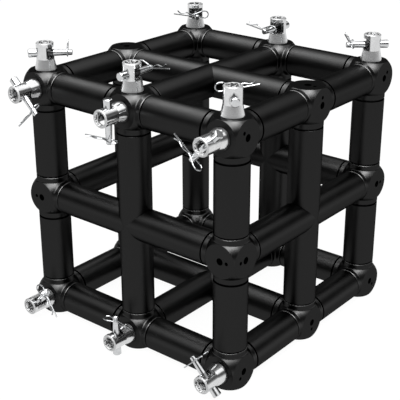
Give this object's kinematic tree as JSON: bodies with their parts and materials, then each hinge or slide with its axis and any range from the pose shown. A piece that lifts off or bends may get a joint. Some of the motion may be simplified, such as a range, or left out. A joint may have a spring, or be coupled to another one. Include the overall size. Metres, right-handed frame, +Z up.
{
  "type": "truss junction block",
  "caption": "Open cube of black tubes with bored ball hubs at its corners and edges, carrying pinned half couplers on two faces, to join square truss in several directions.",
  "frame": {"origin": "centre of the base plane, under the middle of the cube", "axes": "+Z up, -Y towards the front face with couplers, +X to the right of that face"},
  "size_m": [0.388, 0.4275, 0.4275],
  "materials": {
    "tube_black": "satin black powder coat",
    "hub_black": "satin black powder coat",
    "coupler_satin": "satin turned aluminium",
    "bolt_steel": "zinc plated",
    "pin_steel": "polished and plated",
    "clip_steel": "bright spring wire"
  },
  "bodies": {
    "root": {"corner_hub_front_left_bottom": "hub_black", "corner_hub_front_right_bottom": "hub_black", "corner_hub_back_left_bottom": "hub_black", "corner_hub_back_right_bottom": "hub_black", "corner_hub_front_left_top": "hub_black", "corner_hub_front_right_top": "hub_black", "corner_hub_back_left_top": "hub_black", "corner_hub_back_right_top": "hub_black", "mid_hub_front_bottom": "hub_black", "mid_hub_left_bottom": "hub_black", "mid_hub_right_bottom": "hub_black", "mid_hub_back_bottom": "hub_black", "mid_hub_front_left": "hub_black", "mid_hub_front_right": "hub_black", "mid_hub_back_left": "hub_black", "mid_hub_back_right": "hub_black", "mid_hub_front_top": "hub_black", "mid_hub_left_top": "hub_black", "mid_hub_right_top": "hub_black", "mid_hub_back_top": "hub_black", "edge_tubes_front_bottom": "tube_black", "edge_tubes_left_bottom": "tube_black", "edge_tubes_right_bottom": "tube_black", "edge_tubes_back_bottom": "tube_black", "edge_tubes_front_left": "tube_black", "edge_tubes_front_right": "tube_black", "edge_tubes_back_left": "tube_black", "edge_tubes_back_right": "tube_black", "edge_tubes_front_top": "tube_black", "edge_tubes_left_top": "tube_black", "edge_tubes_right_top": "tube_black", "edge_tubes_back_top": "tube_black", "face_cross_left": "tube_black", "face_cross_right": "tube_black", "face_cross_front": "tube_black", "face_cross_back": "tube_black", "face_cross_bottom": "tube_black", "face_cross_top": "tube_black", "coupler_top_front_left": "coupler_satin", "coupler_top_front_mid": "coupler_satin", "coupler_top_front_right": "coupler_satin", "coupler_top_back_left": "coupler_satin", "coupler_top_back_mid": "coupler_satin", "coupler_top_back_right": "coupler_satin", "coupler_front_bottom_left": "coupler_satin", "coupler_front_bottom_mid": "coupler_satin", "coupler_front_bottom_right": "coupler_satin", "coupler_front_top_left": "coupler_satin", "coupler_front_top_mid": "coupler_satin", "coupler_front_top_right": "coupler_satin", "taper_pins_top": "pin_steel", "taper_pins_front": "pin_steel", "r_clips_top": "clip_steel", "r_clips_front": "clip_steel", "coupler_bolts_top": "bolt_steel", "coupler_bolts_front": "bolt_steel", "dowels_top": "pin_steel", "dowels_front": "pin_steel"}
  },
  "joints": []
}
